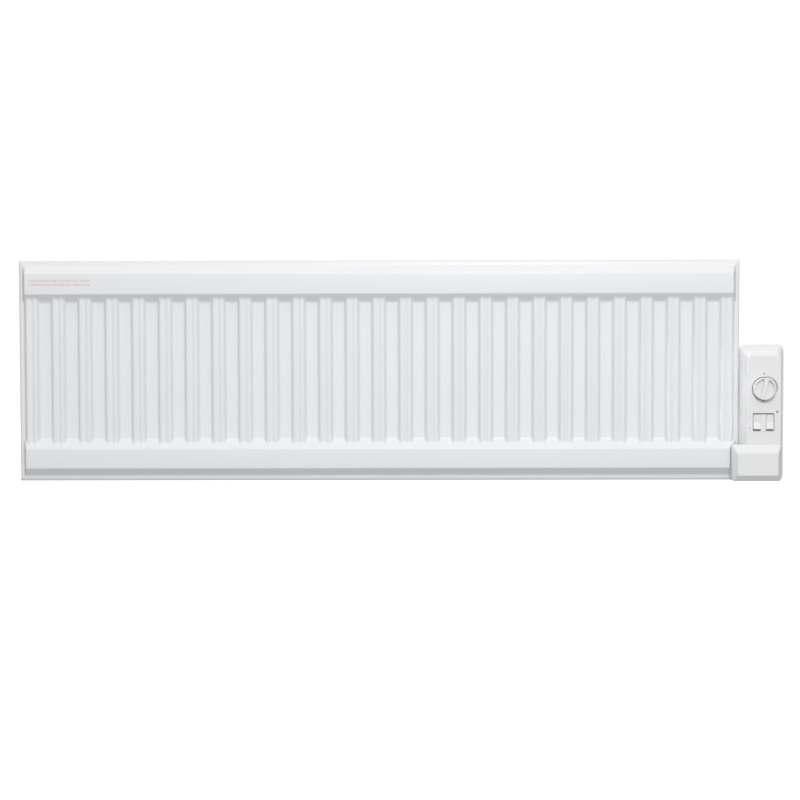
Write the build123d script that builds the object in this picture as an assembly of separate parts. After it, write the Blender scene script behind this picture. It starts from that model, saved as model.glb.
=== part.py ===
from build123d import *
import math
import os

# Low wall-hung electric radiator: an oil-filled panel pressed from two steel sheets, a control box on its
# right-hand end and a steel wall bracket behind it. Millimetres, +Z up, the front faces -Y, and the wall
# is the plane Y = 0. The origin is the middle of the bracket's crossbar, on the wall.

# ---- radiator panel ----
PANEL_W = 981.0
PANEL_H = 300.0
SHEET = 1.2
SEAM_Y = -50.0
TOP_FLANGE = 7.0
SIDE_FLANGE = 5.0
HEADER_D = 12.0
HEADER_OUTER_RUN = 10.3
HEADER_FACE = 27.0
HEADER_INNER_RUN = 12.3
HEADER_END_RUN = 4.5
HEADER_BEND = 3.0
RIB_PITCH = 36.4
RIB_W = 21.0
RIB_D = 6.0
RIB_WALL = 3.2
RIB_CREST = 4.4
RIB_GROOVE = 1.4
BOTTOM = -PANEL_H / 2
TOP = PANEL_H / 2
HALF_W = PANEL_W / 2
RIB_COUNT = int((PANEL_W - 2 * SIDE_FLANGE - RIB_W) / RIB_PITCH) + 1
LOWER_Z = BOTTOM + TOP_FLANGE + HEADER_OUTER_RUN + HEADER_FACE / 2
UPPER_Z = -LOWER_Z
HEADER_REAR_Y = SEAM_Y + SHEET + HEADER_D

# ---- oil fittings and heating element ----
SOCKET_R = 11.0
SOCKET_X0 = HALF_W - 20.5
SOCKET_X1 = HALF_W + 3.5
THREAD_R = 8.0
THREAD_L = 20.0
GASKET_T = 1.5
HEX_FLATS = 24.0
HEX_T = 8.0
ELEMENT_R = 3.0
ELEMENT_BEND_R = 4.0
ELEMENT_X0 = -HALF_W + 160.0
ELEMENT_OUT = 6.0
TERMINAL_R = 1.5
TERMINAL_L = 14.0
FILLER_X = -HALF_W + 50.0
FILLER_R = 7.0
FILLER_PLUG_R = 4.0
FILLER_PLUG_L = 6.0
FILLER_L = 7.0
FILLER_HEX = 12.0
FILLER_HEX_T = 5.0

# ---- wall bracket and latches ----
BRACKET_X = 300.0
STRIP_W = 30.0
STRIP_T = 2.0
BEND_IN = 0.8
BEND_OUT = 2.0
UPRIGHT_Z0 = BOTTOM + 18.0
UPRIGHT_Z1 = TOP - 12.0
CROSSBAR_H = 30.0
SHELF_REACH = 26.0
SHELF_LIP_Z = LOWER_Z + 3.0
HOLE_R = 3.2
SLOT_L = 14.0
HOLE_SPACING = 180.0
LUG_T = 1.5
LUG_W = 24.0
LUG_REACH = 18.0
LUG_LIP = 9.0
LUG_FOOT = 12.0
LATCH_T = 2.0
LATCH_GAP = 0.3
LATCH_Z0 = TOP - 46.0
LATCH_Z1 = TOP - 6.0
LATCH_TRAVEL = 10.0
TAB_REACH = 14.0
ARM_W = 10.0
HOOK_PLAY = 3.0
RIVET_R = 2.5
RIVET_FIT = 0.1
RIVET_HEAD_R = 3.6
RIVET_HEAD_T = 1.2
RIVET_DX = 10.0
RIVET_Z = TOP - 31.0

# ---- control box ----
BOX_W = 60.4
BOX_H = 184.5
END_GAP = 0.6
BOX_L = HALF_W + END_GAP
BOX_R = BOX_L + BOX_W
BOX_TOP = BOTTOM + BOX_H
BOX_REAR_Y = -30.0
RIM_Y = SEAM_Y - 2.0
FACE_Y = RIM_Y - 24.0
BLOCK_Y = FACE_Y - 8.0
WALL = 2.2
BOX_CORNER = 8.0
BLOCK_CORNER = 3.0
BLOCK_EDGE = 2.0
FACE_EDGE = 2.5
BASE_EDGE = 1.5
RIM_STEP = 1.6
FACE_L = BOX_L + 5.8
FACE_R = BOX_R - 7.9
FACE_TOP = BOX_TOP - 14.0
BLOCK_L = BOX_L - 13.4
BLOCK_TOP = BOTTOM + 49.2
BLOCK_FACE_L = BLOCK_L + 6.7
BLOCK_FACE_R = FACE_R - 5.2
BLOCK_FACE_TOP = BLOCK_TOP - 10.8
BLOCK_FACE_Z0 = BOTTOM + 8.0
PANEL_GAP = 0.5
LIP_T = 1.4
LIP_GAP = 0.2
LIP_D = 5.0
LIP_ROOT = 2.5
SLOT_GAP = 0.4
COVER_SCREW_X = (BOX_L + 14.0, BOX_R - 10.5)
COVER_SCREW_Y = RIM_Y + 2.5
COVER_SCREW_R = 1.3
COVER_SCREW_L = 7.0
COVER_HEAD_R = 2.3
COVER_HEAD_T = 1.2
VENTS = 5
VENT_PITCH = 9.0
VENT_W = 3.5
VENT_L = 8.0

# ---- controls ----
CTRL_X = BOX_L + 28.4
KNOB_Z = BOTTOM + 125.0
KNOB_R = 15.0
KNOB_T = 10.0
KNOB_EDGE = 1.2
KNOB_RECESS_R = 16.2
KNOB_RECESS = 1.2
KNOB_GAP = 0.3
SCOOP_R = 13.2
SCOOP_D = 4.5
SCOOP_EDGE = 0.5
GRIP_W = 6.0
GRIP_TILT = 10.0
SPINDLE_R = 3.0
SPINDLE_FIT = 0.05
SWITCH_Z = BOTTOM + 79.4
SWITCH_W = 29.1
SWITCH_H = 24.6
SWITCH_R = 2.0
OPENING_GAP = 0.2
SWITCH_SUNK = 1.5
ROCKER_DX = 8.6
ROCKER_W = 9.6
ROCKER_HALF = 10.0
ROCKER_PROUD = 2.0
ROCKER_DISH = 1.6
ROCKER_SIDE = 5.0
ROCKER_FOOT = 3.5
ROCKER_TILT = 8.0
ROCKER_EDGE = 0.6
ROCKER_SIDE_GAP = 0.2
PIVOT_Y = FACE_Y + 5.5
PIVOT_R = 1.2
PIVOT_FIT = 0.05
PIVOT_L = 0.6
WELL_HALF = 11.2
WELL_D = 12.0
LENS_X = CTRL_X + 18.3
LENS_Z = SWITCH_Z + 14.5
LENS_R = 1.5

# ---- inside the box ----
BOARD_Y = FACE_Y + 19.6
BOARD_T = 1.6
BOARD_X0 = BOX_L + 5.9
BOARD_X1 = BOX_R - 6.5
BOARD_Z0 = BOTTOM + 72.0
BOARD_Z1 = BOTTOM + 166.0
BOSS_R = 3.5
SCREW_R = 1.5
SCREW_HOLE = 0.2
SCREW_HEAD_R = 2.8
SCREW_HEAD_T = 1.8
SCREW_L = 9.0
POT_HALF = 11.0
POT_D = 12.0
BUSHING_R = 4.5
BUSHING_GAP = 0.3
RELAY = (18.0, 15.0, 18.0)
TRANSFORMER = (26.0, 19.0, 26.0)
CAPACITOR_R = 4.5
CAPACITOR_L = 12.0
TAB_T = 1.5
TAB_X0 = HALF_W - 5.9
TAB_X1 = BOX_L + 18.0
TAB_Z0 = BOTTOM + 100.0
TAB_Z1 = BOTTOM + 145.0
TAB_SCREW_X = BOX_L + 12.0
CUTOUT_R = 7.0
CUTOUT_T = 5.6
TERMINALS_X0 = BOX_L + 14.0
TERMINALS_X1 = BOX_R - 9.5
TERMINALS_Z0 = BOTTOM + 53.0
TERMINALS_Z1 = BOTTOM + 69.0
TERMINALS_Y = SEAM_Y - 4.0
LEAD_R = 1.3
LEAD_BEND = 5.0
INLET_X = BOX_L + 35.0
INLET_Y = BOX_REAR_Y - 9.3
INLET_R = 4.0
INLET_BODY_R = 5.5
INLET_FLANGE_R = 6.5
INLET_L = 12.0


def block(x0, x1, y0, y1, z0, z1):
    """A plain box between three pairs of coordinates."""
    size = (abs(x1 - x0), abs(y1 - y0), abs(z1 - z0))
    return Pos((x0 + x1) / 2, (y0 + y1) / 2, (z0 + z1) / 2) * Box(*size)


def rod_x(x0, x1, y, z, r):
    return Pos((x0 + x1) / 2, y, z) * Rot(0, 90, 0) * Cylinder(r, abs(x1 - x0))


def rod_y(y0, y1, x, z, r):
    return Pos(x, (y0 + y1) / 2, z) * Rot(90, 0, 0) * Cylinder(r, abs(y1 - y0))


def rod_z(z0, z1, x, y, r):
    return Pos(x, y, (z0 + z1) / 2) * Cylinder(r, abs(z1 - z0))


def prism_x(x0, x1, points):
    """A profile in Y and Z, swept from x0 to x1."""
    face = make_face(Polyline(*points, close=True))
    return extrude(Plane.YZ.offset(x0) * face, amount=x1 - x0)


def prism_z(z0, z1, points):
    """A profile in X and Y, swept from z0 to z1."""
    face = make_face(Polyline(*points, close=True))
    return extrude(Plane.XY.offset(z0) * face, amount=z1 - z0)


def front_face(y, x0, x1, z0, z1, r):
    """An upright rounded rectangle that faces the front, at depth y."""
    outline = RectangleRounded(x1 - x0, z1 - z0, r)
    return Plane.XZ.offset(-y) * Pos((x0 + x1) / 2, (z0 + z1) / 2) * outline


def rounded(part, corners):
    """Rounds the edges along X that pass through each (y, z) by its radius."""
    for y, z, r in corners:
        edges = []
        for edge in part.edges().filter_by(Axis.X):
            middle = edge.center()
            if abs(middle.Y - y) < 0.01 and abs(middle.Z - z) < 0.01:
                edges.append(edge)
        part = fillet(edges, r)
    return part


def moved(line, gap):
    """An open line shifted sideways by gap at every stretch, its corners mitred."""
    result = []
    for i, (x, y) in enumerate(line):
        before = line[max(i - 1, 0)]
        after = line[min(i + 1, len(line) - 1)]
        a = math.atan2(y - before[1], x - before[0]) if i > 0 else None
        b = math.atan2(after[1] - y, after[0] - x) if i < len(line) - 1 else a
        a = b if a is None else a
        mid = (a + b) / 2
        reach = gap / math.cos((b - a) / 2)
        result.append((x + reach * math.sin(mid), y - reach * math.cos(mid)))
    return result


# ---- front and rear pressings: the depth of each line is measured forward from the seam ----
header_foot = BOTTOM + TOP_FLANGE
header_line = [
    (header_foot - 3, SHEET),
    (header_foot, SHEET),
    (header_foot + HEADER_OUTER_RUN, SHEET + HEADER_D),
    (header_foot + HEADER_OUTER_RUN + HEADER_FACE, SHEET + HEADER_D),
    (header_foot + HEADER_OUTER_RUN + HEADER_FACE + HEADER_INNER_RUN, SHEET),
    (header_foot + HEADER_OUTER_RUN + HEADER_FACE + HEADER_INNER_RUN + 3, SHEET),
]
end_foot = HALF_W - SIDE_FLANGE
end_line = [
    (-end_foot - 3, SHEET),
    (-end_foot, SHEET),
    (-end_foot + HEADER_END_RUN, SHEET + HEADER_D),
    (end_foot - HEADER_END_RUN, SHEET + HEADER_D),
    (end_foot, SHEET),
    (end_foot + 3, SHEET),
]
rib_line = [
    (-RIB_W / 2 - 3, SHEET),
    (-RIB_W / 2, SHEET),
    (-RIB_W / 2 + RIB_WALL, SHEET + RIB_D),
    (-RIB_W / 2 + RIB_WALL + RIB_CREST, SHEET + RIB_D),
    (0, SHEET + RIB_D - RIB_GROOVE),
    (RIB_W / 2 - RIB_WALL - RIB_CREST, SHEET + RIB_D),
    (RIB_W / 2 - RIB_WALL, SHEET + RIB_D),
    (RIB_W / 2, SHEET),
    (RIB_W / 2 + 3, SHEET),
]


def raised(line, gap):
    """The closed outline of a raised stretch, moved in by gap, down to just behind the seam."""
    inner = moved(line, gap)[1:-1]
    return [(inner[0][0], -1.0)] + inner + [(inner[-1][0], -1.0)]


def bent(points, bend):
    """A closed outline with the two corners of its raised face rounded."""
    face = make_face(Polyline(*points, close=True))
    tops = sorted(face.vertices(), key=lambda v: -v.Y)[:2]
    return fillet(tops, bend)


def bulges(gap):
    """Both headers and all the ribs as one body, in a frame with depth along +Y."""
    bend = HEADER_BEND - gap
    run = Plane(origin=(-HALF_W, 0, 0), x_dir=(0, 0, 1), z_dir=(-1, 0, 0))
    lower = extrude(run * bent(raised(header_line, gap), bend), amount=-PANEL_W)
    ends = extrude(Plane.XY.offset(BOTTOM) * bent(raised(end_line, gap), bend), amount=PANEL_H / 2)
    lower = lower & ends
    upper = mirror(lower, about=Plane.XY)
    ribs = []
    for i in range(RIB_COUNT):
        x = (i - (RIB_COUNT - 1) / 2) * RIB_PITCH
        points = [(x + px, py) for px, py in raised(rib_line, gap)]
        ribs.append(prism_z(LOWER_Z, UPPER_Z, points))
    return lower + upper + ribs


def pressing():
    plate = block(-HALF_W, HALF_W, 0, SHEET, BOTTOM, TOP)
    behind = block(-HALF_W, HALF_W, -2, 0, BOTTOM, TOP)
    outside = plate + bulges(0) - behind
    return outside - bulges(SHEET)


sheet = pressing()
# the side away from the seam points to the front on one sheet and to the wall on the other
front_panel = mirror(sheet, about=Plane.XZ).moved(Location((0, SEAM_Y, 0)))
rear_panel = sheet.moved(Location((0, SEAM_Y, 0)))

port = rod_x(SOCKET_X0, HALF_W + 1, SEAM_Y, LOWER_Z, SOCKET_R)
front_panel = front_panel - port
rear_panel = rear_panel - port
filler_hole = rod_y(HEADER_REAR_Y - 4, HEADER_REAR_Y + 1, FILLER_X, UPPER_Z, FILLER_R)
rear_panel = rear_panel - filler_hole

# ---- heating element: a hairpin tube in the lower header, screwed into the header's end ----
element_socket = rod_x(SOCKET_X0, SOCKET_X1, SEAM_Y, LOWER_Z, SOCKET_R)
element_socket = element_socket - rod_x(SOCKET_X0 - 1, SOCKET_X1 + 1, SEAM_Y, LOWER_Z, THREAD_R)
gasket_x1 = SOCKET_X1 + GASKET_T
element_gasket = rod_x(SOCKET_X1, gasket_x1, SEAM_Y, LOWER_Z, SOCKET_R)
element_gasket = element_gasket - rod_x(SOCKET_X1 - 1, gasket_x1 + 1, SEAM_Y, LOWER_Z, THREAD_R)
hex_x1 = gasket_x1 + HEX_T
hexagon = RegularPolygon(HEX_FLATS / 2, 6, major_radius=False)
element_head = extrude(Plane.YZ.offset(gasket_x1) * Pos(SEAM_Y, LOWER_Z) * hexagon, amount=HEX_T)
element_head = element_head + rod_x(gasket_x1 - THREAD_L, gasket_x1, SEAM_Y, LOWER_Z, THREAD_R)
leg_end = hex_x1 + ELEMENT_OUT
legs = Part()
hairpin = Part()
for side in (-1, 1):
    leg = rod_x(ELEMENT_X0, leg_end, SEAM_Y, LOWER_Z + side * ELEMENT_BEND_R, ELEMENT_R)
    legs = legs + leg
    hairpin = hairpin + leg
element_head = element_head - legs
turn = Pos(ELEMENT_X0, SEAM_Y, LOWER_Z) * Rot(90, 0, 0) * Torus(ELEMENT_BEND_R, ELEMENT_R)
left_half = block(ELEMENT_X0 - 20, ELEMENT_X0, SEAM_Y - 10, SEAM_Y + 10, LOWER_Z - 20, LOWER_Z + 20)
heating_element = hairpin + (turn & left_half)
pins = []
for side in (-1, 1):
    pin_z = LOWER_Z + side * ELEMENT_BEND_R
    pins.append(rod_x(leg_end, leg_end + TERMINAL_L, SEAM_Y, pin_z, TERMINAL_R))
element_terminals = Compound(children=pins)

# ---- filler on the back of the upper header ----
filler_socket = rod_y(HEADER_REAR_Y - 3, HEADER_REAR_Y + FILLER_L, FILLER_X, UPPER_Z, FILLER_R)
filler_bore = rod_y(HEADER_REAR_Y - 4, HEADER_REAR_Y + FILLER_L + 1, FILLER_X, UPPER_Z, FILLER_PLUG_R)
filler_socket = filler_socket - filler_bore
filler_y = HEADER_REAR_Y + FILLER_L
filler_gasket = rod_y(filler_y, filler_y + 1, FILLER_X, UPPER_Z, FILLER_R)
filler_gasket = filler_gasket - rod_y(filler_y - 1, filler_y + 2, FILLER_X, UPPER_Z, FILLER_PLUG_R)
filler_hexagon = RegularPolygon(FILLER_HEX / 2, 6, major_radius=False)
filler_place = Plane.XZ.offset(-(filler_y + 1 + FILLER_HEX_T)) * Pos(FILLER_X, UPPER_Z)
filler_plug = extrude(filler_place * filler_hexagon, amount=FILLER_HEX_T)
filler_plug = filler_plug + rod_y(filler_y - FILLER_PLUG_L, filler_y + 1.5, FILLER_X, UPPER_Z, FILLER_PLUG_R)

# ---- lugs on the back of both headers ----
lug_y0 = HEADER_REAR_Y
lug_y1 = -LUG_REACH


def lugs(z_leg, lip_dir):
    """One angled strap on each side: a foot on the header, a leg towards the wall and a lip at its end."""
    solids = []
    for side in (-1, 1):
        x0 = side * BRACKET_X - LUG_W / 2
        x1 = side * BRACKET_X + LUG_W / 2
        foot = block(x0, x1, lug_y0, lug_y0 + LUG_T, z_leg - lip_dir * LUG_FOOT, z_leg + lip_dir * LUG_T)
        leg = block(x0, x1, lug_y0, lug_y1, z_leg, z_leg + lip_dir * LUG_T)
        lip = block(x0, x1, lug_y1 - LUG_T, lug_y1, z_leg, z_leg + lip_dir * LUG_LIP)
        z_in = z_leg + lip_dir * LUG_T
        bends = [(lug_y0 + LUG_T, z_leg, BEND_IN), (lug_y1, z_leg, BEND_OUT), (lug_y1 - LUG_T, z_in, BEND_IN)]
        solids.append(rounded(foot + leg + lip, bends))
    return Compound(children=solids)


lower_leg_z = SHELF_LIP_Z + LUG_T
lower_lugs = lugs(lower_leg_z, -1)
upper_leg_z = UPPER_Z - 6
upper_lugs = lugs(upper_leg_z, 1)

# ---- wall bracket ----
shelf_y = -SHELF_REACH
latch_y0 = -STRIP_T - LATCH_GAP
latch_y1 = latch_y0 - LATCH_T


def upright(x):
    """A strip on the wall with a shelf and an upturned lip at its foot, and a slot near each end."""
    strip = block(x - STRIP_W / 2, x + STRIP_W / 2, -STRIP_T, 0, UPRIGHT_Z0, UPRIGHT_Z1)
    shelf = block(x - STRIP_W / 2, x + STRIP_W / 2, shelf_y, 0, UPRIGHT_Z0, UPRIGHT_Z0 + STRIP_T)
    lip = block(x - STRIP_W / 2, x + STRIP_W / 2, shelf_y, shelf_y + STRIP_T, UPRIGHT_Z0, SHELF_LIP_Z)
    shelf_z = UPRIGHT_Z0 + STRIP_T
    bends = [
        (0, UPRIGHT_Z0, BEND_OUT),
        (-STRIP_T, shelf_z, BEND_IN),
        (shelf_y, UPRIGHT_Z0, BEND_OUT),
        (shelf_y + STRIP_T, shelf_z, BEND_IN),
    ]
    body = rounded(strip + shelf + lip, bends)
    for side in (-1, 1):
        slot = Plane.XZ.offset(-1) * Pos(x, side * HOLE_SPACING / 2) * SlotOverall(SLOT_L, 2 * HOLE_R)
        body = body - extrude(slot, amount=STRIP_T + 2)
    return body


bracket_upright_left = upright(-BRACKET_X)
bracket_upright_right = upright(BRACKET_X)
bar_half = BRACKET_X - STRIP_W / 2
bracket_crossbar = block(-bar_half, bar_half, -STRIP_T, 0, -CROSSBAR_H / 2, CROSSBAR_H / 2)

# ---- latches: a sliding plate on two rivets, whose hook drops in front of the upper lug's lip ----
hook_y = lug_y1 - LUG_T - HOOK_PLAY - LATCH_T
arm_z0 = upper_leg_z + LUG_LIP + 2
arm_z1 = arm_z0 + LATCH_T
hook_z0 = upper_leg_z + LUG_T + 2
slot_r = RIVET_R + RIVET_FIT


def latch(x):
    body = block(x - STRIP_W / 2, x + STRIP_W / 2, latch_y1, latch_y0, LATCH_Z0, LATCH_Z1)
    body = body + block(x - ARM_W / 2, x + ARM_W / 2, hook_y, latch_y0, arm_z0, arm_z1)
    body = body + block(x - ARM_W / 2, x + ARM_W / 2, hook_y, hook_y + LATCH_T, hook_z0, arm_z1)
    body = body + block(x - STRIP_W / 2, x + STRIP_W / 2, -TAB_REACH, latch_y0, LATCH_Z1 - LATCH_T, LATCH_Z1)
    bends = [
        (latch_y0, LATCH_Z1, BEND_OUT),
        (latch_y1, LATCH_Z1 - LATCH_T, BEND_IN),
        (hook_y, arm_z1, BEND_OUT),
        (hook_y + LATCH_T, arm_z0, BEND_IN),
    ]
    body = rounded(body, bends)
    for side in (-1, 1):
        length = LATCH_TRAVEL + 2 * slot_r
        middle = (x + side * RIVET_DX, RIVET_Z - LATCH_TRAVEL / 2)
        slot = Plane.XZ.offset(-latch_y0 - 1) * Pos(*middle) * SlotOverall(length, 2 * slot_r, rotation=90)
        body = body - extrude(slot, amount=LATCH_T + 2)
    return body


latch_left = latch(-BRACKET_X)
latch_right = latch(BRACKET_X)
rivets = []
for x in (-BRACKET_X - RIVET_DX, -BRACKET_X + RIVET_DX, BRACKET_X - RIVET_DX, BRACKET_X + RIVET_DX):
    stem = rod_y(-STRIP_T, latch_y1 - LATCH_GAP, x, RIVET_Z, RIVET_R)
    head = rod_y(latch_y1 - LATCH_GAP, latch_y1 - LATCH_GAP - RIVET_HEAD_T, x, RIVET_Z, RIVET_HEAD_R)
    rivets.append(stem + head)
latch_rivets = Compound(children=rivets)

# ---- control base: an open tray behind the rim ----
base_edge = (BOX_L, BOX_R, BOTTOM, BOX_TOP, BOX_CORNER)
base_outside = extrude(front_face(BOX_REAR_Y, *base_edge), amount=BOX_REAR_Y - RIM_Y)
base_outside = fillet(base_outside.faces().sort_by(Axis.Y)[-1].edges(), BASE_EDGE)
floor_y = BOX_REAR_Y - WALL
inner = (BOX_L + WALL, BOX_R - WALL, BOTTOM + WALL, BOX_TOP - WALL, BOX_CORNER - WALL)
control_base = base_outside - extrude(front_face(floor_y, *inner), amount=floor_y - RIM_Y + 1)
board_points = []
for x in (BOARD_X0 + 4, BOARD_X1 - 4):
    for z in (BOARD_Z0 + 5, BOARD_Z1 - 5):
        board_points.append((x, z))
for x, z in board_points:
    control_base = control_base + rod_y(floor_y, BOARD_Y, x, z, BOSS_R)
    control_base = control_base - rod_y(BOARD_Y + SCREW_L, BOARD_Y - 1, x, z, SCREW_R)
tab_rear_y = SEAM_Y + SHEET + TAB_T
tab_points = [(TAB_SCREW_X, TAB_Z0 + 7), (TAB_SCREW_X, TAB_Z1 - 7)]
for x, z in tab_points:
    control_base = control_base + rod_y(floor_y, tab_rear_y, x, z, BOSS_R)
    control_base = control_base - rod_y(tab_rear_y + SCREW_L, tab_rear_y - 1, x, z, SCREW_R)
side_wall = (BOX_L - 1, BOX_L + WALL + 1)
tab_slot = block(*side_wall, RIM_Y - 1, tab_rear_y + SLOT_GAP, TAB_Z0 - SLOT_GAP, TAB_Z1 + SLOT_GAP)
control_base = control_base - tab_slot
port_r = SOCKET_R + SLOT_GAP
port_slot = rod_x(*side_wall, SEAM_Y, LOWER_Z, port_r)
port_slot = port_slot + block(*side_wall, RIM_Y - 1, SEAM_Y, LOWER_Z - port_r, LOWER_Z + port_r)
control_base = control_base - port_slot
control_base = control_base - rod_z(BOTTOM - 1, BOTTOM + WALL + 1, INLET_X, INLET_Y, INLET_BODY_R)
vent_y = BOX_REAR_Y - 7
for i in range(VENTS):
    x = BOX_L + 12 + i * VENT_PITCH
    vent = block(x, x + VENT_W, vent_y, vent_y - VENT_L, BOX_TOP - WALL - 1, BOX_TOP + 1)
    control_base = control_base - vent

# ---- control cover: a drafted shell with a thicker block at its foot that laps the panel's end ----
foot_r = BOX_R - RIM_STEP
foot_top = BOX_TOP - RIM_STEP


def shell(wall):
    """The cover's outside, or its inside when it is shrunk by the wall."""
    w = wall
    front = FACE_Y + w
    upper_foot = front_face(RIM_Y, BOX_L + w, foot_r - w, BOTTOM + w, foot_top - w, BOX_CORNER - w)
    upper_top = front_face(front, FACE_L + w, FACE_R - w, BOTTOM + w, FACE_TOP - w, BOX_CORNER - w)
    upper = loft([upper_foot, upper_top], ruled=True)
    low_foot = front_face(RIM_Y, BLOCK_L + w, foot_r - w, BOTTOM + w, BLOCK_TOP - w, BLOCK_CORNER - w / 2)
    low_mid = front_face(front, BLOCK_L + w, FACE_R - w, BOTTOM + w, BLOCK_TOP - w, BLOCK_CORNER - w / 2)
    low_edge = (BLOCK_FACE_L + w, BLOCK_FACE_R - w, BLOCK_FACE_Z0 + w, BLOCK_FACE_TOP - w)
    low_top = front_face(BLOCK_Y + w, *low_edge, BLOCK_CORNER - w / 2)
    low = loft([low_foot, low_mid], ruled=True) + loft([low_mid, low_top], ruled=True)
    return upper + low


def edges_at(part, y, z_min):
    """The edges that lie at depth y, above z_min."""
    found = []
    for edge in part.edges():
        if abs(edge.center().Y - y) < 0.01 and edge.bounding_box().size.Y < 0.01 and edge.center().Z > z_min:
            found.append(edge)
    return found


cover_outside = shell(0)
cover_outside = fillet(edges_at(cover_outside, BLOCK_Y, BOTTOM), BLOCK_EDGE)
cover_outside = fillet(edges_at(cover_outside, FACE_Y, BLOCK_TOP + 1), FACE_EDGE)
control_cover = cover_outside - shell(WALL)
gap_line = [(z, d) for z, d in moved(header_line, -PANEL_GAP)]
gap_points = [(SEAM_Y, BOTTOM - 5), (SEAM_Y - gap_line[0][1], BOTTOM - 5)]
gap_points = gap_points + [(SEAM_Y - d, z) for z, d in gap_line[1:-1]]
gap_points = gap_points + [(SEAM_Y - gap_line[-1][1], BLOCK_TOP + 60), (SEAM_Y, BLOCK_TOP + 60)]
control_cover = control_cover - prism_x(BLOCK_L - 1, BOX_L, gap_points)
lip_out = WALL + LIP_GAP
lip_face = (BOX_L + lip_out, BOX_R - lip_out, BOTTOM + lip_out, BOX_TOP - lip_out, BOX_CORNER - lip_out)
lip_in = lip_out + LIP_T
lip_hole = (BOX_L + lip_in, BOX_R - lip_in, BOTTOM + lip_in, BOX_TOP - lip_in, BOX_CORNER - lip_in)
web_face = (BOX_L + RIM_STEP, BOX_R - RIM_STEP, BOTTOM + 1, BOX_TOP - RIM_STEP, BOX_CORNER - RIM_STEP)
cover_lip = extrude(front_face(RIM_Y + LIP_D, *lip_face), amount=LIP_D)
cover_lip = cover_lip + (extrude(front_face(RIM_Y, *web_face), amount=LIP_ROOT) & shell(0))
cover_lip = cover_lip - extrude(front_face(RIM_Y + LIP_D + 1, *lip_hole), amount=LIP_D + 5)
lip_cut = block(BOX_L, BOX_L + 12, RIM_Y - LIP_ROOT, RIM_Y + LIP_D + 1, BOTTOM, TAB_Z1 + 6)
control_cover = control_cover + (cover_lip - lip_cut)
cover_screw_list = []
for x in COVER_SCREW_X:
    head = rod_z(BOTTOM, BOTTOM + COVER_HEAD_T, x, COVER_SCREW_Y, COVER_HEAD_R)
    screw = head + rod_z(BOTTOM + COVER_HEAD_T, BOTTOM + COVER_SCREW_L, x, COVER_SCREW_Y, COVER_SCREW_R)
    cover_screw_list.append(screw)
    control_base = control_base - screw
    control_cover = control_cover - screw
cover_screws = Compound(children=cover_screw_list)
recess_y = FACE_Y + KNOB_RECESS
control_cover = control_cover + rod_y(recess_y, FACE_Y + WALL + 1, CTRL_X, KNOB_Z, KNOB_RECESS_R + 2)
control_cover = control_cover - rod_y(recess_y, FACE_Y - 1, CTRL_X, KNOB_Z, KNOB_RECESS_R)
control_cover = control_cover - rod_y(FACE_Y - 2, FACE_Y + WALL + 3, CTRL_X, KNOB_Z, BUSHING_R + BUSHING_GAP)
opening_w = SWITCH_W + 2 * OPENING_GAP
opening_h = SWITCH_H + 2 * OPENING_GAP
opening_place = Plane.XZ.offset(-FACE_Y - WALL - 3) * Pos(CTRL_X, SWITCH_Z)
opening = opening_place * RectangleRounded(opening_w, opening_h, SWITCH_R)
control_cover = control_cover - extrude(opening, amount=WALL + 5)
control_cover = control_cover - rod_y(FACE_Y - 1, FACE_Y + WALL + 1, LENS_X, LENS_Z, LENS_R)
indicator_lens = rod_y(BOARD_Y - BOARD_T, FACE_Y - 0.4, LENS_X, LENS_Z, LENS_R)

# ---- knob, spindle and thermostat: the knob is scooped out on both sides of a finger bar ----
knob_rear = FACE_Y + KNOB_RECESS - KNOB_GAP
knob_front = knob_rear - KNOB_T
spindle_end = knob_front + SCOOP_D + 1
knob = rod_y(knob_rear, knob_front, CTRL_X, KNOB_Z, KNOB_R)
knob = fillet(knob.faces().sort_by(Axis.Y)[0].edges(), KNOB_EDGE)
scoop = rod_y(knob_front + SCOOP_D, knob_front - 1, CTRL_X, KNOB_Z, SCOOP_R)
grip = Pos(CTRL_X, knob_front, KNOB_Z) * Rot(0, GRIP_TILT, 0) * Box(GRIP_W, 3 * SCOOP_D, 3 * SCOOP_R)
knob = knob - (scoop - grip)
scoop_edges = []
for edge in edges_at(knob, knob_front, BOTTOM):
    if (edge.center() - Vector(CTRL_X, knob_front, KNOB_Z)).length < SCOOP_R:
        scoop_edges.append(edge)
knob = fillet(scoop_edges, SCOOP_EDGE)
temperature_knob = knob - rod_y(knob_rear + 1, spindle_end, CTRL_X, KNOB_Z, SPINDLE_R)
pot_y = BOARD_Y - BOARD_T
thermostat_spindle = rod_y(pot_y - 2, spindle_end, CTRL_X, KNOB_Z, SPINDLE_R)
pot_z = (KNOB_Z - POT_HALF, KNOB_Z + POT_HALF)
thermostat_body = block(CTRL_X - POT_HALF, CTRL_X + POT_HALF, pot_y, pot_y - POT_D, *pot_z)
thermostat_body = thermostat_body + rod_y(pot_y - POT_D, FACE_Y + KNOB_RECESS + 0.6, CTRL_X, KNOB_Z, BUSHING_R)
spindle_bore = SPINDLE_R + SPINDLE_FIT
thermostat_body = thermostat_body - rod_y(pot_y - 2 + 0.3, FACE_Y, CTRL_X, KNOB_Z, spindle_bore)

# ---- twin rocker switch ----
frame_front = FACE_Y + SWITCH_SUNK
switch_rear = BOARD_Y - BOARD_T
outline = Plane.XZ.offset(-switch_rear) * Pos(CTRL_X, SWITCH_Z) * RectangleRounded(SWITCH_W, SWITCH_H, SWITCH_R)
switch_body = extrude(outline, amount=switch_rear - frame_front)
well_half_w = ROCKER_W / 2 + ROCKER_SIDE_GAP


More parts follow.
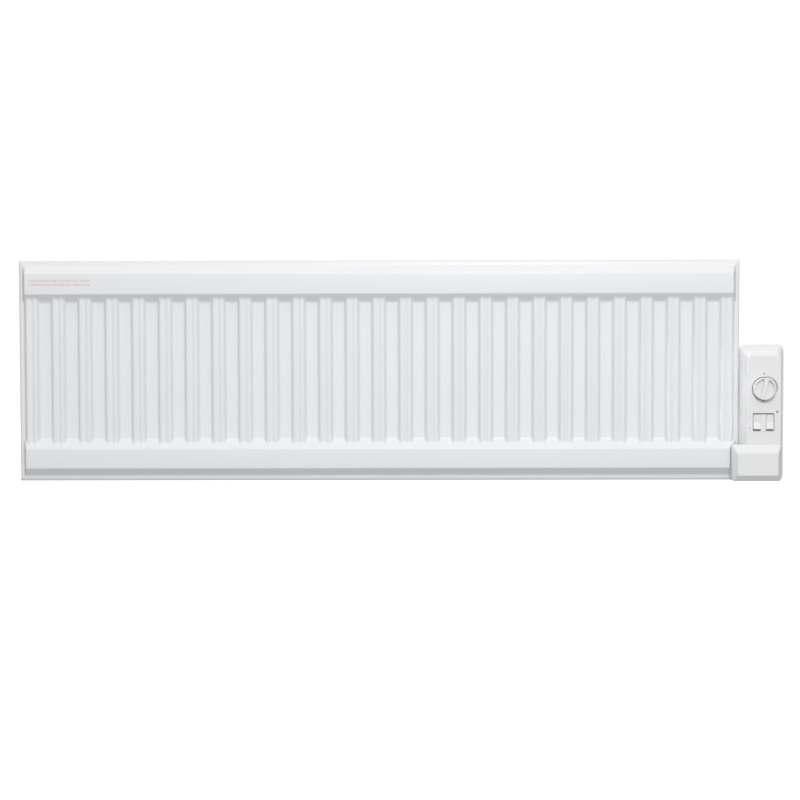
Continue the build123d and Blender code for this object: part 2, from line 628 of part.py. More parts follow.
def rocker(x):
    """A rocker with its pin, pressed at the top."""
    half = ROCKER_HALF
    front = FACE_Y - ROCKER_PROUD
    points = [
        (front, -half),
        (front + ROCKER_DISH, 0),
        (front, half),
        (front + ROCKER_SIDE, half),
        (PIVOT_Y + 3, ROCKER_FOOT),
        (PIVOT_Y + 3, -ROCKER_FOOT),
        (front + ROCKER_SIDE, -half),
    ]
    body = prism_x(x - ROCKER_W / 2, x + ROCKER_W / 2, [(y, SWITCH_Z + z) for y, z in points])
    body = fillet([e for e in body.edges() if e.center().Y < front + ROCKER_SIDE - 0.5], ROCKER_EDGE)
    reach = well_half_w + PIVOT_L
    body = body + rod_x(x - reach, x + reach, PIVOT_Y, SWITCH_Z, PIVOT_R)
    pivot = Location((x, PIVOT_Y, SWITCH_Z))
    return pivot * Rot(-ROCKER_TILT, 0, 0) * pivot.inverse() * body


for side in (-1, 1):
    x = CTRL_X + side * ROCKER_DX
    well_z = (SWITCH_Z - WELL_HALF, SWITCH_Z + WELL_HALF)
    well = block(x - well_half_w, x + well_half_w, frame_front - 1, FACE_Y + WELL_D, *well_z)
    switch_body = switch_body - well
    reach = well_half_w + PIVOT_L + PIVOT_FIT
    switch_body = switch_body - rod_x(x - reach, x + reach, PIVOT_Y, SWITCH_Z, PIVOT_R + PIVOT_FIT)
rocker_left = rocker(CTRL_X - ROCKER_DX)
rocker_right = rocker(CTRL_X + ROCKER_DX)

# ---- circuit board and what it carries ----
board_front = BOARD_Y - BOARD_T
control_board = block(BOARD_X0, BOARD_X1, BOARD_Y, board_front, BOARD_Z0, BOARD_Z1)
board_screw_list = []
for x, z in board_points:
    control_board = control_board - rod_y(BOARD_Y + 1, board_front - 1, x, z, SCREW_R + SCREW_HOLE)
    screw = rod_y(BOARD_Y + SCREW_L - 2, board_front, x, z, SCREW_R)
    board_screw_list.append(screw + rod_y(board_front, board_front - SCREW_HEAD_T, x, z, SCREW_HEAD_R))
board_screws = Compound(children=board_screw_list)
relay_at = Location((BOARD_X0 + 28, BOARD_Y, BOARD_Z0 + 23))
relay = relay_at * Pos(0, RELAY[1] / 2, 0) * Box(*RELAY)
transformer_at = Location((BOARD_X0 + 30, BOARD_Y, BOARD_Z0 + 59))
transformer = transformer_at * Pos(0, TRANSFORMER[1] / 2, 0) * Box(*TRANSFORMER)
capacitor = rod_y(BOARD_Y, BOARD_Y + CAPACITOR_L, BOARD_X0 + 31, BOARD_Z0 + 82, CAPACITOR_R)

# ---- steel tab welded behind the panel's edge, with the cut-out on it ----
tab_front = SEAM_Y + SHEET
box_tab = block(TAB_X0, TAB_X1, tab_front, tab_rear_y, TAB_Z0, TAB_Z1)
tab_screw_list = []
for x, z in tab_points:
    box_tab = box_tab - rod_y(tab_rear_y + 1, tab_front - 1, x, z, SCREW_R + SCREW_HOLE)
    screw = rod_y(tab_rear_y + SCREW_L - 2, tab_front, x, z, SCREW_R)
    tab_screw_list.append(screw + rod_y(tab_front, tab_front - SCREW_HEAD_T, x, z, SCREW_HEAD_R))
tab_screws = Compound(children=tab_screw_list)
cutout_z = (TAB_Z0 + TAB_Z1) / 2
thermal_cutout = rod_y(tab_front, tab_front - CUTOUT_T, TAB_SCREW_X, cutout_z, CUTOUT_R)

# ---- terminal block, inlet and leads ----
terminal_block = block(TERMINALS_X0, TERMINALS_X1, floor_y, TERMINALS_Y, TERMINALS_Z0, TERMINALS_Z1)
clamp_z = (TERMINALS_Z0 + TERMINALS_Z1) / 2
clamp_pitch = (TERMINALS_X1 - TERMINALS_X0 - 14) / 2
for i in range(3):
    x = TERMINALS_X0 + 7 + i * clamp_pitch
    terminal_block = terminal_block - rod_y(TERMINALS_Y + 4, TERMINALS_Y - 1, x, clamp_z, 2.6)
inlet_top = BOTTOM + WALL
inlet_bush = rod_z(BOTTOM, inlet_top, INLET_X, INLET_Y, INLET_BODY_R)
inlet_bush = inlet_bush + rod_z(inlet_top, BOTTOM + INLET_L, INLET_X, INLET_Y, INLET_FLANGE_R)
cable_inlet_bush = inlet_bush - rod_z(BOTTOM - 1, BOTTOM + INLET_L + 1, INLET_X, INLET_Y, INLET_R)


def lead(points, bend):
    """A round insulated wire along straight runs joined by arcs."""
    path = FilletPolyline(*points, radius=bend)
    start = Plane(origin=path @ 0, z_dir=path % 0)
    return sweep(start * Circle(LEAD_R), path=path)


pin_end = leg_end + TERMINAL_L
upper_pin = LOWER_Z + ELEMENT_BEND_R
lower_pin = LOWER_Z - ELEMENT_BEND_R
live_x = pin_end + 6
neutral_x = pin_end + 13
live_path = [(pin_end, SEAM_Y, upper_pin), (live_x, SEAM_Y, upper_pin), (live_x, SEAM_Y, TERMINALS_Z0)]
lead_live = lead(live_path, LEAD_BEND)
neutral_path = [(pin_end, SEAM_Y, lower_pin), (neutral_x, SEAM_Y, lower_pin), (neutral_x, SEAM_Y, TERMINALS_Z0)]
lead_neutral = lead(neutral_path, LEAD_BEND)

nodes = {
    "front_panel": front_panel,
    "rear_panel": rear_panel,
    "element_socket": element_socket,
    "element_gasket": element_gasket,
    "element_head": element_head,
    "heating_element": heating_element,
    "element_terminals": element_terminals,
    "filler_socket": filler_socket,
    "filler_gasket": filler_gasket,
    "filler_plug": filler_plug,
    "lower_lugs": lower_lugs,
    "upper_lugs": upper_lugs,
    "bracket_upright_left": bracket_upright_left,
    "bracket_upright_right": bracket_upright_right,
    "bracket_crossbar": bracket_crossbar,
    "latch_left": latch_left,
    "latch_right": latch_right,
    "latch_rivets": latch_rivets,
    "control_base": control_base,
    "control_cover": control_cover,
    "cover_screws": cover_screws,
    "indicator_lens": indicator_lens,
    "temperature_knob": temperature_knob,
    "thermostat_spindle": thermostat_spindle,
    "thermostat_body": thermostat_body,
    "switch_body": switch_body,
    "rocker_left": rocker_left,
    "rocker_right": rocker_right,
    "control_board": control_board,
    "board_screws": board_screws,
    "relay": relay,
    "transformer": transformer,
    "capacitor": capacitor,
    "box_tab": box_tab,
    "tab_screws": tab_screws,
    "thermal_cutout": thermal_cutout,
    "terminal_block": terminal_block,
    "cable_inlet_bush": cable_inlet_bush,
    "lead_live": lead_live,
    "lead_neutral": lead_neutral,
}

os.makedirs("parts", exist_ok=True)
for name, solid in nodes.items():
    export_step(solid, f"parts/{name}.step")
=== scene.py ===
# Low wall-hung electric panel heater: an oil-filled steel panel with pressed channels, a white plastic
# control box on its right-hand end, and a zinc-plated bracket behind it. Metres, +Z up, front faces -Y.
import math
import bmesh
import bpy
from mathutils import Matrix, Vector


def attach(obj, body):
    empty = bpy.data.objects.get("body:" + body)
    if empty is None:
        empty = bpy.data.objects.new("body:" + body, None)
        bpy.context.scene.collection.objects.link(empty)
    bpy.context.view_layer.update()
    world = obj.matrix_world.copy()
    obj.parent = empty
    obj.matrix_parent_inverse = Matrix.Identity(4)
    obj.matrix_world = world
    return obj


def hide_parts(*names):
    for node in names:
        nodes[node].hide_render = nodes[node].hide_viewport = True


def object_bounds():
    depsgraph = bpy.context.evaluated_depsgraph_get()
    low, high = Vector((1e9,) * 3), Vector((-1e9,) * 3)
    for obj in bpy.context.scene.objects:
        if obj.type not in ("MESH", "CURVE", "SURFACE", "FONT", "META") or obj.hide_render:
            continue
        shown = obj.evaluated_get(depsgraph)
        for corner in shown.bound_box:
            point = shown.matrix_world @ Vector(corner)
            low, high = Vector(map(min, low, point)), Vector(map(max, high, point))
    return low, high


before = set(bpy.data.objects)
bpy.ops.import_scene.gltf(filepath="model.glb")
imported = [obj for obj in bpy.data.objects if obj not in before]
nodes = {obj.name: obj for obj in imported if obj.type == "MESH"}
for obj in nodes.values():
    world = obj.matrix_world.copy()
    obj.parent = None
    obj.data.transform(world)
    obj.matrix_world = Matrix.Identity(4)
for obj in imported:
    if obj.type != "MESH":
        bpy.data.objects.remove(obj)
cad_low, cad_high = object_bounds()

# ---- studio: a pale floor well below the hung heater, soft lamps and an even pale surround ----
# The key lamp stands in front, above and a little to the right, so that the channels shade to their left. A
# narrow lamp is aimed at the control box's left slope, and a broad one behind shows the wall bracket.
scene = bpy.context.scene
scene.view_settings.view_transform = "Standard"
camera_data = bpy.data.cameras.new("studio_camera")
camera_data.sensor_width = 36.0
camera_data.lens = 77.16
camera = bpy.data.objects.new("studio_camera", camera_data)
camera.location = (0.0451, -2.3905, 0.0563)
pan, tilt_down, roll = 0.0070, 0.0413, -0.0020
aimed = Matrix.Rotation(pan, 4, "Z") @ Matrix.Rotation(math.pi / 2 - tilt_down, 4, "X")
camera.rotation_euler = (aimed @ Matrix.Rotation(roll, 4, "Z")).to_euler()
scene.collection.objects.link(camera)
scene.camera = camera

lamps = {
    # name: (place, aim, width, height, spread in degrees, watts)
    "key": ((0.26, -1.9, 0.95), (0.05, 0, 0), 0.40, 0.30, 180, 17.6),
    "rear": ((0.3, 2.2, 1.3), (0, 0, 0), 1.6, 0.9, 180, 22.0),
    "box_side": ((0.20, -0.085, -0.03), (0.493, -0.066, -0.03), 0.012, 0.12, 16, 0.0052),
}
for name, (place, aim, width, height, spread, watts) in lamps.items():
    lamp = bpy.data.lights.new("lamp_" + name, "AREA")
    lamp.shape = "RECTANGLE"
    lamp.size = width
    lamp.size_y = height
    lamp.spread = math.radians(spread)
    lamp.energy = watts
    holder = bpy.data.objects.new("lamp_" + name, lamp)
    holder.location = place
    holder.visible_camera = False
    holder.visible_glossy = name != "box_side"
    holder.rotation_euler = (Vector(aim) - Vector(place)).to_track_quat("-Z", "Y").to_euler()
    scene.collection.objects.link(holder)

sky, ground, side_share, backdrop = 1.17, 0.645, 0.35, 1.05
horizon_blend = 0.35
side_from, side_to = 0.4, 0.95
surround = bpy.data.worlds.new("pale_surround")
surround.use_nodes = True
scene.world = surround
air = surround.node_tree
air.nodes.clear()
air_out = air.nodes.new("ShaderNodeOutputWorld")
seen = air.nodes.new("ShaderNodeBackground")
seen.inputs["Color"].default_value = (1, 1, 1, 1)
seen.inputs["Strength"].default_value = backdrop
lit = air.nodes.new("ShaderNodeBackground")
where = air.nodes.new("ShaderNodeTexCoord")
split = air.nodes.new("ShaderNodeSeparateXYZ")
fade = air.nodes.new("ShaderNodeMapRange")
fade.inputs["From Min"].default_value = -horizon_blend
fade.inputs["From Max"].default_value = horizon_blend
fade.inputs["To Min"].default_value = ground
fade.inputs["To Max"].default_value = sky
aside = air.nodes.new("ShaderNodeMath")
aside.operation = "ABSOLUTE"
sideways = air.nodes.new("ShaderNodeMapRange")
sideways.inputs["From Min"].default_value = side_from
sideways.inputs["From Max"].default_value = side_to
sideways.inputs["To Min"].default_value = 1.0
sideways.inputs["To Max"].default_value = side_share
both = air.nodes.new("ShaderNodeMath")
both.operation = "MULTIPLY"
ray = air.nodes.new("ShaderNodeLightPath")
pick = air.nodes.new("ShaderNodeMixShader")
air.links.new(where.outputs["Generated"], split.inputs[0])
air.links.new(split.outputs["Z"], fade.inputs["Value"])
air.links.new(split.outputs["X"], aside.inputs[0])
air.links.new(aside.outputs[0], sideways.inputs["Value"])
air.links.new(fade.outputs["Result"], both.inputs[0])
air.links.new(sideways.outputs["Result"], both.inputs[1])
air.links.new(both.outputs[0], lit.inputs["Strength"])
air.links.new(ray.outputs["Is Camera Ray"], pick.inputs["Fac"])
air.links.new(lit.outputs[0], pick.inputs[1])
air.links.new(seen.outputs[0], pick.inputs[2])
air.links.new(pick.outputs[0], air_out.inputs["Surface"])

floor_drop, floor_half = 0.55, 12
floor_mesh = bpy.data.meshes.new("pale_floor")
floor_shape = bmesh.new()
bmesh.ops.create_grid(floor_shape, x_segments=1, y_segments=1, size=floor_half)
bmesh.ops.translate(floor_shape, verts=floor_shape.verts, vec=(0, 0, cad_low.z - floor_drop))
floor_shape.to_mesh(floor_mesh)
floor_shape.free()
floor = bpy.data.objects.new("pale_floor", floor_mesh)
floor_paint = bpy.data.materials.new("pale_floor")
floor_paint.use_nodes = True
floor_coat = floor_paint.node_tree.nodes["Principled BSDF"]
floor_coat.inputs["Base Color"].default_value = (0.95, 0.95, 0.95, 1)
floor_coat.inputs["Roughness"].default_value = 0.9
floor_coat.inputs["Emission Color"].default_value = (1, 1, 1, 1)
floor_coat.inputs["Emission Strength"].default_value = 0.5
floor_mesh.materials.append(floor_paint)
scene.collection.objects.link(floor)
floor.visible_diffuse = False
floor.visible_glossy = False
floor.visible_shadow = False

# ---- front and rear sheets ----
# Two 1.2 mm steel sheets, pressed alike: a flat flange all round, a deep header along the top and the foot,
# and upright channels between them, each with a shallow groove down its crest. They are seam-welded at the
# flange and baked with a white powder coat.
MM = 0.001  # the sizes of pieces are in millimetres
sheet = 1.2
seam_y = -50.0
half_w = 490.5
half_h = 150.0
rib_pitch = 36.4
rib_count = 27
rib_depth = 6.0
rib_foot, rib_crest = 10.5, 7.3
groove_edge, groove_floor = 2.9, 4.6
header_depth = 12.0
flange = 7
header_from, header_to, inner_slope = 10.3, 37.3, 12.3
upper_header_to, header_end = 38.6, 49.6
end_from, end_to = 5, 9.5
end_blend, rib_blend, blend_fade = 1.6, 2.0, 2.0
rib_zone = half_h - 30


def softened(line, foot_radius, crest_radius, steps):
    """A line of (place, depth) with each corner turned into a short curve, of one radius at the flange's
    depth and another further out."""
    made = [line[0]]
    for before, corner, after in zip(line, line[1:], line[2:]):
        a, c, b = Vector(before), Vector(corner), Vector(after)
        radius = foot_radius if corner[1] < 1 else crest_radius
        reach = min(radius, 0.45 * (c - a).length, 0.45 * (b - c).length)
        start = c + (a - c).normalized() * reach
        end = c + (b - c).normalized() * reach
        for i in range(steps + 1):
            u = i / steps
            made.append(tuple((1 - u) ** 2 * start + 2 * u * (1 - u) * c + u * u * end))
    made.append(line[-1])
    return made


def depth_on(line, place):
    """The depth of a softened line at one place."""
    low, high = 0, len(line) - 1
    if place <= line[0][0]:
        return line[0][1]
    if place >= line[-1][0]:
        return line[-1][1]
    while high - low > 1:
        mid = (low + high) // 2
        if line[mid][0] <= place:
            low = mid
        else:
            high = mid
    (p0, d0), (p1, d1) = line[low], line[high]
    return d0 + (d1 - d0) * (place - p0) / max(p1 - p0, 1e-9)


rib_corners = [(-half_w, 0.0)]
for i in range(rib_count):
    x = (i - (rib_count - 1) / 2) * rib_pitch
    rib_corners += [(x - rib_foot, 0), (x - rib_crest, rib_depth), (x - groove_edge, rib_depth)]
    rib_corners += [(x, groove_floor)]
    rib_corners += [(x + groove_edge, rib_depth), (x + rib_crest, rib_depth), (x + rib_foot, 0)]
rib_corners.append((half_w, 0.0))
rib_line = softened(rib_corners, foot_radius=1.9, crest_radius=1.6, steps=3)
end_corners = [
    (-half_w, 0), (-half_w + end_from, 0), (-half_w + end_to, header_depth),
    (half_w - end_to, header_depth), (half_w - end_from, 0), (half_w, 0),
]
end_line = softened(end_corners, foot_radius=2.0, crest_radius=1.6, steps=4)
foot = -half_h + flange
header_corners = [
    (-half_h, 0), (foot, 0), (foot + header_from, header_depth), (foot + header_to, header_depth),
    (foot + header_end, 0), (-foot - header_end, 0), (-foot - upper_header_to, header_depth),
    (-foot - header_from, header_depth), (-foot, 0), (half_h, 0),
]
header_line = softened(header_corners, foot_radius=2.4, crest_radius=1.3, steps=4)
across = sorted({round(p, 3) for p, d in rib_line} | {round(p, 3) for p, d in end_line})
up = {round(p, 3) for p, d in header_line}
slope_rows = 8
for step in range(1, slope_rows + 1):
    place = foot + header_to + inner_slope * step / slope_rows
    up |= {round(place, 3), round(-place, 3)}
field_rows = {-40.0, 0.0, 40.0}
up = sorted(up | field_rows)


def pressed_depth(x, z):
    """How far the sheet stands proud of its flange at one place."""
    header = depth_on(header_line, z)
    end = depth_on(end_line, x)
    soft = end_blend * max(0.0, min(1.0, (header_depth - max(header, end)) / blend_fade))
    depth = min(header, end)
    if soft > 0:
        depth -= max(soft - abs(header - end), 0) ** 2 / (4 * soft)
    depth = max(depth, 0.0)
    if abs(z) < rib_zone:
        rib = depth_on(rib_line, x)
        soft = rib_blend * min(1.0, min(depth, rib) / blend_fade)
        gap = abs(depth - rib)
        depth = max(depth, rib)
        if soft > 0:
            depth += max(soft - gap, 0) ** 2 / (4 * soft)
    return depth


def pressed_sheet(name, side):
    """One sheet; side is -1 for the front and 1 for the back."""
    shape = bmesh.new()
    columns, rows = len(across) - 1, len(up) - 1
    bmesh.ops.create_grid(shape, x_segments=columns, y_segments=rows, size=1)
    for v in shape.verts:
        x = across[round((v.co.x + 1) / 2 * columns)]
        z = up[round((v.co.y + 1) / 2 * rows)]
        y = seam_y + side * (sheet + pressed_depth(x, z))
        v.co = (x * MM, y * MM, z * MM)
    bmesh.ops.recalc_face_normals(shape, faces=shape.faces)
    if shape.faces[0].normal.y * side < 0:
        bmesh.ops.reverse_faces(shape, faces=shape.faces)
    for f in shape.faces:
        f.smooth = True
    mesh = bpy.data.meshes.new(name)
    shape.to_mesh(mesh)
    shape.free()
    piece = bpy.data.objects.new(name, mesh)
    scene.collection.objects.link(piece)
    wall = piece.modifiers.new("steel_thickness", "SOLIDIFY")
    wall.thickness = sheet * MM
    wall.offset = -1
    return piece


def grain_group():
    """Fine and broad unevenness of a surface: Height for its relief, Patch for slow changes of tone."""
    group = bpy.data.node_groups.new("surface_grain", "ShaderNodeTree")
    face = group.interface
    size = face.new_socket("Fine Scale", in_out="INPUT", socket_type="NodeSocketFloat")
    size.default_value = 900.0
    broad = face.new_socket("Broad Scale", in_out="INPUT", socket_type="NodeSocketFloat")
    broad.default_value = 6.0
    stretch = face.new_socket("Stretch", in_out="INPUT", socket_type="NodeSocketVector")
    stretch.default_value = (1, 1, 1)
    face.new_socket("Height", in_out="OUTPUT", socket_type="NodeSocketFloat")
    face.new_socket("Patch", in_out="OUTPUT", socket_type="NodeSocketFloat")
    inside = group.nodes.new("NodeGroupInput")
    outside = group.nodes.new("NodeGroupOutput")
    place = group.nodes.new("ShaderNodeTexCoord")
    pull = group.nodes.new("ShaderNodeVectorMath")
    pull.operation = "MULTIPLY"
    fine = group.nodes.new("ShaderNodeTexNoise")
    fine.inputs["Detail"].default_value = 3.0
    slow = group.nodes.new("ShaderNodeTexNoise")
    slow.inputs["Detail"].default_value = 2.0
    link = group.links.new
    link(place.outputs["Object"], pull.inputs[0])
    link(inside.outputs["Stretch"], pull.inputs[1])
    link(pull.outputs["Vector"], fine.inputs["Vector"])
    link(place.outputs["Object"], slow.inputs["Vector"])
    link(inside.outputs["Fine Scale"], fine.inputs["Scale"])
    link(inside.outputs["Broad Scale"], slow.inputs["Scale"])
    link(fine.outputs["Fac"], outside.inputs["Height"])
    link(slow.outputs["Fac"], outside.inputs["Patch"])
    return group


surface_grain = grain_group()


def surface(name, light, dark, rough, fine, broad, relief, metallic=0.0, stretch=(1, 1, 1)):
    """A finish between two tones and two roughnesses, with its own grain relief in millimetres."""
    finish = bpy.data.materials.new(name)
    finish.use_nodes = True
    tree = finish.node_tree
    coat = tree.nodes["Principled BSDF"]
    coat.inputs["Metallic"].default_value = metallic
    grain = tree.nodes.new("ShaderNodeGroup")
    grain.node_tree = surface_grain
    grain.inputs["Fine Scale"].default_value = fine
    grain.inputs["Broad Scale"].default_value = broad
    grain.inputs["Stretch"].default_value = stretch
    tone = tree.nodes.new("ShaderNodeMix")
    tone.data_type = "RGBA"
    tone.inputs["A"].default_value = (*dark, 1)
    tone.inputs["B"].default_value = (*light, 1)
    sheen = tree.nodes.new("ShaderNodeMapRange")
    sheen.inputs["From Min"].default_value = 0.3
    sheen.inputs["From Max"].default_value = 0.7
    sheen.inputs["To Min"].default_value = rough[0]
    sheen.inputs["To Max"].default_value = rough[1]
    bump = tree.nodes.new("ShaderNodeBump")
    bump.inputs["Strength"].default_value = 1.0
    bump.inputs["Distance"].default_value = relief * MM
    link = tree.links.new
    link(grain.outputs["Patch"], tone.inputs["Factor"])
    link(tone.outputs["Result"], coat.inputs["Base Color"])
    link(grain.outputs["Height"], sheen.inputs["Value"])
    link(sheen.outputs["Result"], coat.inputs["Roughness"])
    link(grain.outputs["Height"], bump.inputs["Height"])
    link(bump.outputs["Normal"], coat.inputs["Normal"])
    return finish


def coat_node(name, finish):
    """Puts a finish on a piece that comes straight from the design."""
    piece = nodes[name]
    if not piece.material_slots:
        piece.data.materials.append(finish)
    for slot in piece.material_slots:
        slot.material = finish


powder_coat = surface(
    "white_powder_coat", (0.80, 0.81, 0.825), (0.785, 0.795, 0.81),
    (0.34, 0.44), 1400.0, 5.0, 0.012,
)
front_sheet = pressed_sheet("pressed_front", -1)
front_sheet.data.materials.append(powder_coat)
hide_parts("front_panel")
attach(front_sheet, "heater")
rear_sheet = pressed_sheet("pressed_rear", 1)
rear_sheet.data.materials.append(powder_coat)
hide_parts("rear_panel")
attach(rear_sheet, "heater")

# ---- oil fittings and heating element ----
# A steel socket is welded into the lower header's end for the brass-headed element, and a small one behind
# the upper header takes the filler plug. The sockets are painted with the panel; the seals are black fibre.
coat_node("element_socket", powder_coat)
coat_node("filler_socket", powder_coat)
turned_brass = surface(
    "turned_brass", (0.72, 0.55, 0.27), (0.64, 0.48, 0.22),
    (0.22, 0.36), 900.0, 60.0, 0.004, metallic=1.0,
)
coat_node("element_head", turned_brass)
coat_node("filler_plug", turned_brass)
fibre_seal = surface(
    "fibre_seal", (0.045, 0.045, 0.045), (0.03, 0.03, 0.03),
    (0.7, 0.85), 2600.0, 90.0, 0.03,
)
coat_node("element_gasket", fibre_seal)
coat_node("filler_gasket", fibre_seal)
oiled_steel = surface(
    "oiled_steel", (0.30, 0.29, 0.27), (0.22, 0.21, 0.20),
    (0.28, 0.42), 500.0, 30.0, 0.006, metallic=1.0,
)
coat_node("heating_element", oiled_steel)
plain_metal = surface(
    "plain_terminal_metal", (0.66, 0.65, 0.62), (0.58, 0.57, 0.55),
    (0.25, 0.4), 1200.0, 80.0, 0.004, metallic=1.0,
)
coat_node("element_terminals", plain_metal)

# ---- lugs and box tab ----
# Folded straps spot-welded on the back of both headers, which hook on the bracket, and the flat tab behind
# the panel's right edge. All are painted with the panel.
coat_node("lower_lugs", powder_coat)
coat_node("upper_lugs", powder_coat)
coat_node("box_tab", powder_coat)

# ---- wall bracket and latches ----
# Zinc-plated strip, sheared and folded: two uprights with a hooked foot, a bar between them, and a latch
# that slides on two rivets at the top of each upright.
zinc = surface(
    "zinc_plate", (0.60, 0.61, 0.63), (0.47, 0.48, 0.50),
    (0.30, 0.46), 420.0, 38.0, 0.006, metallic=1.0, stretch=(1, 1, 0.06),
)
bracket_strips = ("bracket_upright_left", "bracket_upright_right", "bracket_crossbar")
for name in bracket_strips + ("latch_left", "latch_right"):
    coat_node(name, zinc)
coat_node("latch_rivets", plain_metal)

# ---- control base and cover ----
# Two white mouldings that close on each other at a rim: a tray behind, and a drafted cover in front whose
# thicker foot laps over the end of the panel. Fine spark-eroded grain.
moulding = surface(
    "white_moulding", (0.80, 0.805, 0.81), (0.785, 0.79, 0.795),
    (0.42, 0.52), 2600.0, 9.0, 0.012,
)
coat_node("control_base", moulding)
coat_node("control_cover", moulding)
plated_screw = surface(
    "plated_screw", (0.62, 0.62, 0.60), (0.52, 0.52, 0.50),
    (0.25, 0.38), 900.0, 90.0, 0.004, metallic=1.0,
)
for name in ("cover_screws", "board_screws", "tab_screws"):
    coat_node(name, plated_screw)

# ---- temperature knob ----
# A smooth white moulding, scooped out on both sides of a slanting finger bar. It is pushed on the grey
# spindle of the thermostat, whose grey case sits behind the cover.
smooth_white = surface(
    "smooth_white", (0.80, 0.80, 0.80), (0.785, 0.785, 0.785),
    (0.26, 0.34), 3000.0, 20.0, 0.003,
)
coat_node("temperature_knob", smooth_white)
grey_moulding = surface(
    "grey_moulding", (0.27, 0.27, 0.275), (0.23, 0.23, 0.235),
    (0.45, 0.58), 2400.0, 30.0, 0.01,
)
coat_node("thermostat_spindle", grey_moulding)
coat_node("thermostat_body", grey_moulding)

# ---- twin rocker switch and indicator ----
# Two smooth white rockers share one frame that snaps into the cover. A small smoked light guide stands above
# them to the right and shows when the heater is drawing current.
coat_node("switch_body", moulding)
coat_node("rocker_left", smooth_white)
coat_node("rocker_right", smooth_white)
smoked = surface("smoked_guide", (0.34, 0.33, 0.33), (0.28, 0.27, 0.27), (0.12, 0.2), 900.0, 60.0, 0.001)
coat_node("indicator_lens", smoked)

# ---- printed marks on the cover and the panel ----
# Thin ink laid on the finished surfaces: a black dot above the knob, a grey crescent at its upper right, bar
# marks beside the rockers, and two rows of plain red dashes at the panel's upper left. A short black bar
# laid below the knob is painted shadow in the gap under it.
cover_face_y = -76.0
header_face_y = seam_y - sheet - header_depth
ink_thick = 0.05
ink = surface("grey_ink", (0.36, 0.36, 0.37), (0.30, 0.30, 0.31), (0.5, 0.62), 2400.0, 120.0, 0.004)
red_ink = surface("red_ink", (0.74, 0.24, 0.22), (0.66, 0.17, 0.16), (0.45, 0.55), 2400.0, 120.0, 0.004)


def printed(name, outlines, y, thick, finish):
    """Flat outlines in x and z, laid on a face that looks towards -Y."""
    shape = bmesh.new()
    for outline in outlines:
        ring = [shape.verts.new((x * MM, y * MM, z * MM)) for x, z in outline]
        flat = shape.faces.new(ring)
        drawn = bmesh.ops.extrude_face_region(shape, geom=[flat])
        top = [v for v in drawn["geom"] if isinstance(v, bmesh.types.BMVert)]
        bmesh.ops.translate(shape, verts=top, vec=(0, -thick * MM, 0))
    bmesh.ops.recalc_face_normals(shape, faces=shape.faces)
    mesh = bpy.data.meshes.new(name)
    shape.to_mesh(mesh)
    shape.free()
    mesh.materials.append(finish)
    piece = bpy.data.objects.new(name, mesh)
    scene.collection.objects.link(piece)
    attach(piece, "heater")


def disc_outline(x, z, r, steps=28):
    """A disc about one place."""
    turns = [2 * math.pi * i / steps for i in range(steps)]
    return [(x + r * math.cos(turn), z + r * math.sin(turn)) for turn in turns]


def bar_outline(x, z, wide, tall):
    """An upright rectangle about one place."""
    left, right = x - wide / 2, x + wide / 2
    low, high = z - tall / 2, z + tall / 2
    return [(left, low), (right, low), (right, high), (left, high)]


knob_x, knob_z = 519.5, -25.0
dial_r, dial_thin, dial_growth, dial_lean = 17.2, 17.5, 1.9, 1.3
dial_start, dial_sweep, dial_steps = 88, 108, 40
outer, inner = [], []
for i in range(dial_steps + 1):
    turn = math.radians(dial_start - dial_sweep * i / dial_steps)
    inner.append((knob_x + dial_r * math.cos(turn), knob_z + dial_r * math.sin(turn)))
    reach = dial_thin + dial_growth * math.sin(math.pi * (i / dial_steps) ** dial_lean)
    outer.append((knob_x + reach * math.cos(turn), knob_z + reach * math.sin(turn)))
bar_wide, bar_tall = 0.5, 2.6
upper_mark_z, lower_mark_z = -63.2, -78.2
dial = [outer + inner[::-1]]
dial += [bar_outline(500.9, upper_mark_z, bar_wide, bar_tall)]
dial += [bar_outline(x, lower_mark_z, bar_wide, bar_tall) for x in (500.2, 501.6)]
dial += [bar_outline(538.4, -77.6, 2.0, bar_wide)]
printed("dial_marks", dial, cover_face_y, ink_thick, ink)
black_ink_and_shade = surface("black_ink_and_shade", (0.07, 0.07, 0.07), (0.05, 0.05, 0.05), (0.5, 0.62), 2400.0, 120.0, 0.004)
dot = disc_outline(knob_x + 0.8, knob_z + 20.4, 0.95)
# The bar under the knob is painted shadow in the gap below it, drawn in the black ink of the dot.
knob_gap_shadow = bar_outline(knob_x - 0.3, knob_z - 16.9, 4.2, 0.9)
printed("start_dot_and_knob_shadow", [dot, knob_gap_shadow], cover_face_y, ink_thick, black_ink_and_shade)
row_start, row_end, row_heights = -475.0, -393.5, (122.6, 117.1)
dash_widths = (1.5, 2.3, 1.1, 1.9, 2.7, 1.3, 2.1)
dash_tall, dash_lift, lower_share = 0.55, 0.9, 0.8
narrow_gap, wide_gap = 0.7, 1.6
dashes = []
for row, z in enumerate(row_heights):
    x, count = row_start, 0
    while x < row_end:
        wide = dash_widths[(count * 3 + row * 2) % len(dash_widths)]
        dashes.append(bar_outline(x + wide / 2, z + dash_lift, wide, dash_tall))
        dashes.append(bar_outline(x + wide / 2, z - dash_lift, wide * lower_share, dash_tall))
        x += wide + (narrow_gap if count % 5 else wide_gap)
        count += 1
printed("red_dashes", dashes, header_face_y, ink_thick, red_ink)
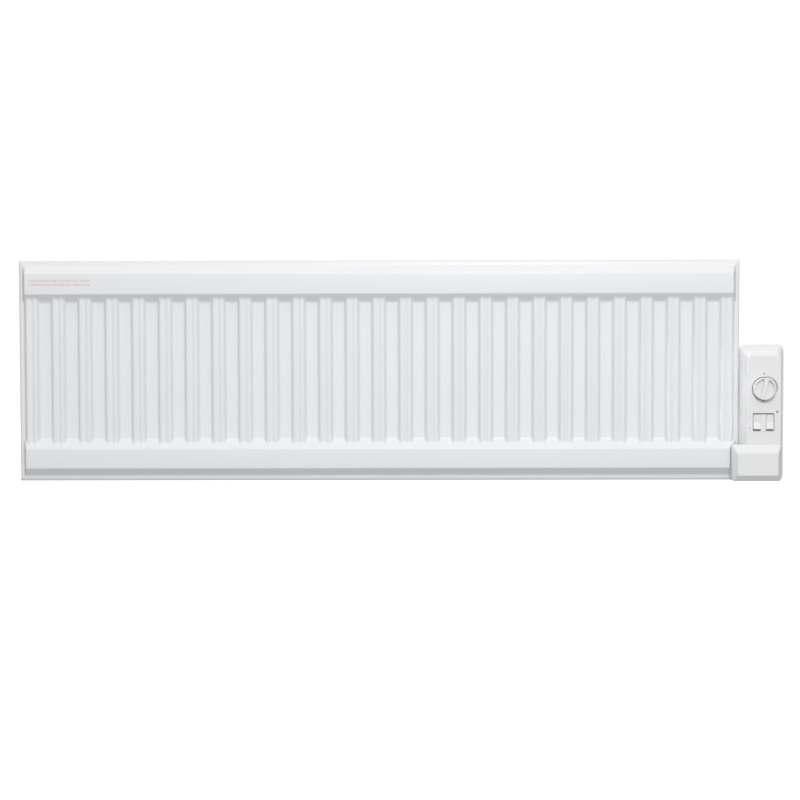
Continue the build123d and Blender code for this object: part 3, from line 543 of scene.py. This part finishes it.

# ---- painted shade on the control box ----
# Dark grey painted shade: a narrow ring at the bottom of the knob's recess, a thin painted shadow round the
# top and sides of the switch opening, and a strip of painted shadow where the cover's foot meets the lower
# header.
shade_paint = surface("painted_shade_grey", (0.16, 0.16, 0.165), (0.11, 0.11, 0.115), (0.85, 0.95), 3200.0, 200.0, 0.05)
# The ring is painted shade standing for the dark gap round the knob.
ring_in, ring_out = 15.05, 15.6
ring_back, ring_front = -74.82, -75.15
ring_shape = bmesh.new()
profile = [(ring_in, ring_back), (ring_out, ring_back), (ring_out, ring_front), (ring_in, ring_front)]
loop = [ring_shape.verts.new(((knob_x + r) * MM, y * MM, knob_z * MM)) for r, y in profile]
edges = [ring_shape.edges.new((loop[i], loop[(i + 1) % 4])) for i in range(4)]
bmesh.ops.spin(
    ring_shape, geom=loop + edges, cent=(knob_x * MM, 0, knob_z * MM), axis=(0, 1, 0),
    angle=2 * math.pi, steps=72, use_merge=True,
)
bmesh.ops.remove_doubles(ring_shape, verts=ring_shape.verts, dist=1e-6)
bmesh.ops.recalc_face_normals(ring_shape, faces=ring_shape.faces)
ring_mesh = bpy.data.meshes.new("knob_recess_shade")
ring_shape.to_mesh(ring_mesh)
ring_shape.free()
ring_mesh.materials.append(shade_paint)
recess_shade_ring = bpy.data.objects.new("knob_recess_shade", ring_mesh)
scene.collection.objects.link(recess_shade_ring)
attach(recess_shade_ring, "heater")
# A thin dark edge painted as the shade under the rim of the switch opening, along its top and sides.
switch_face_y, edge_thick = -74.5, 0.12
edge_top, edge_side = 1.1, 0.25
left, right, head, foot_z = 504.95, 534.05, -58.25, -82.0
opening_shade = [
    bar_outline((left + right) / 2, head - edge_top / 2, right - left - 2 * edge_side, edge_top),
    bar_outline(left + edge_side / 2, (head + foot_z) / 2, edge_side, head - foot_z),
    bar_outline(right - edge_side / 2, (head + foot_z) / 2, edge_side, head - foot_z),
]
printed("switch_opening_shade", opening_shade, switch_face_y, edge_thick, shade_paint)
# A dark strip painted as the shadow in the gap where the cover's foot meets the lower header.
strip_sunk, strip_thick = 0.05, 0.4
gap_shadow_strip = bar_outline(477.3, -119.2, 0.55, 28.0)
printed("foot_gap_shadow", [gap_shadow_strip], header_face_y + strip_sunk, strip_thick, shade_paint)

# ---- circuit board and its parts ----
# A green glass-laminate board screwed to the base carries black-cased parts and a grey terminal block. Two
# insulated leads run to the element, past the metal thermal cut-out.
laminate = surface(
    "green_laminate", (0.05, 0.19, 0.08), (0.035, 0.14, 0.06),
    (0.3, 0.42), 1600.0, 60.0, 0.01,
)
coat_node("control_board", laminate)
black_case = surface("black_case", (0.03, 0.03, 0.032), (0.02, 0.02, 0.022), (0.35, 0.5), 1800.0, 50.0, 0.01)
for name in ("relay", "transformer", "capacitor"):
    coat_node(name, black_case)
coat_node("thermal_cutout", plain_metal)
coat_node("terminal_block", grey_moulding)
coat_node("cable_inlet_bush", grey_moulding)
brown_sleeve = surface(
    "brown_sleeve", (0.13, 0.055, 0.025), (0.10, 0.04, 0.02),
    (0.35, 0.45), 1500.0, 60.0, 0.004,
)
coat_node("lead_live", brown_sleeve)
blue_sleeve = surface(
    "blue_sleeve", (0.03, 0.10, 0.36), (0.02, 0.08, 0.30),
    (0.35, 0.45), 1500.0, 60.0, 0.004,
)
coat_node("lead_neutral", blue_sleeve)
